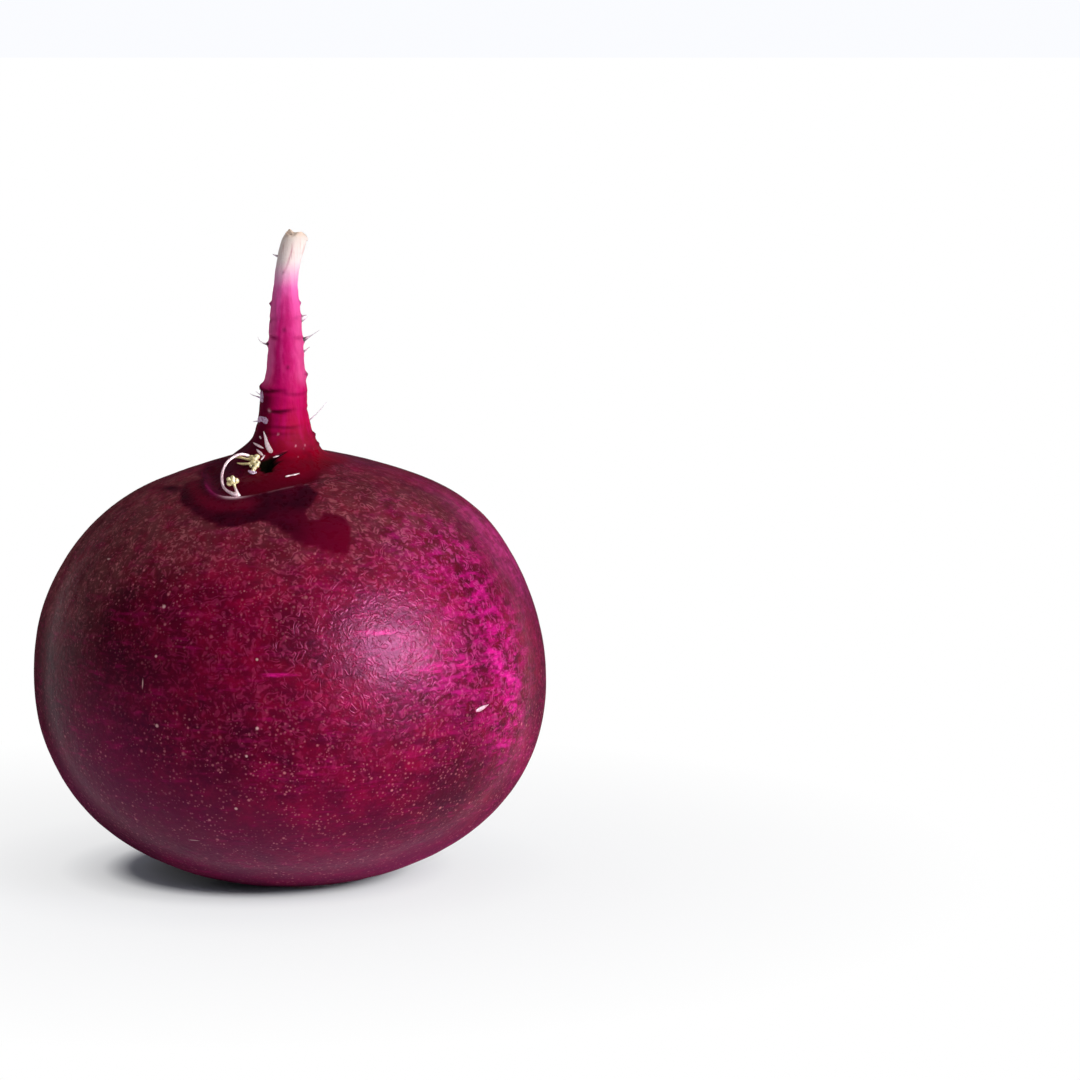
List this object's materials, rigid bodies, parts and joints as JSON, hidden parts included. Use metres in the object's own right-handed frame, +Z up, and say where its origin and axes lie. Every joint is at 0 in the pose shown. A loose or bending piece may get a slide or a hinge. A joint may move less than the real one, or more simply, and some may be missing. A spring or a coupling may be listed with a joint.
{
  "type": "radish",
  "caption": "Round purple-red winter radish standing on its flat trimmed crown, with its thin tap root pointing up and fine rootlets, buds and skin flakes at the collar.",
  "frame": {"origin": "centre of the flat cut on the crown, which is the lowest part of the radish as it stands", "axes": "+Z up through the root to the tap root, which is the longest extent; -Y is the front, where the lip of the collar, the pit and the buds are; +X is to the right of someone who looks at the front"},
  "size_m": [0.0823, 0.0817, 0.105],
  "materials": {
    "root_skin": "dull satin skin, mottled crimson and plum with magenta streaks, fine crackle lines and pale pores; the tap root turns pink and then cream at its cut tip",
    "bud": "matt cream-green bud",
    "rootlet": "matt pinkish-white root thread",
    "dry_skin": "dry, papery, pale lilac skin"
  },
  "bodies": {
    "root": {"radish_root": "root_skin", "upper_bud": "bud", "lower_bud": "bud", "curled_rootlet": "rootlet", "side_rootlet_1": "rootlet", "side_rootlet_2": "rootlet", "side_rootlet_3": "rootlet", "side_rootlet_4": "rootlet", "side_rootlet_5": "rootlet", "side_rootlet_6": "rootlet", "white_sliver": "dry_skin", "pink_sliver": "dry_skin", "short_sliver_1": "dry_skin", "short_sliver_2": "dry_skin", "lilac_flake": "dry_skin", "loose_fibre": "dry_skin", "skin_chip": "dry_skin", "skin_flake_1": "dry_skin", "skin_flake_2": "dry_skin"}
  },
  "joints": []
}
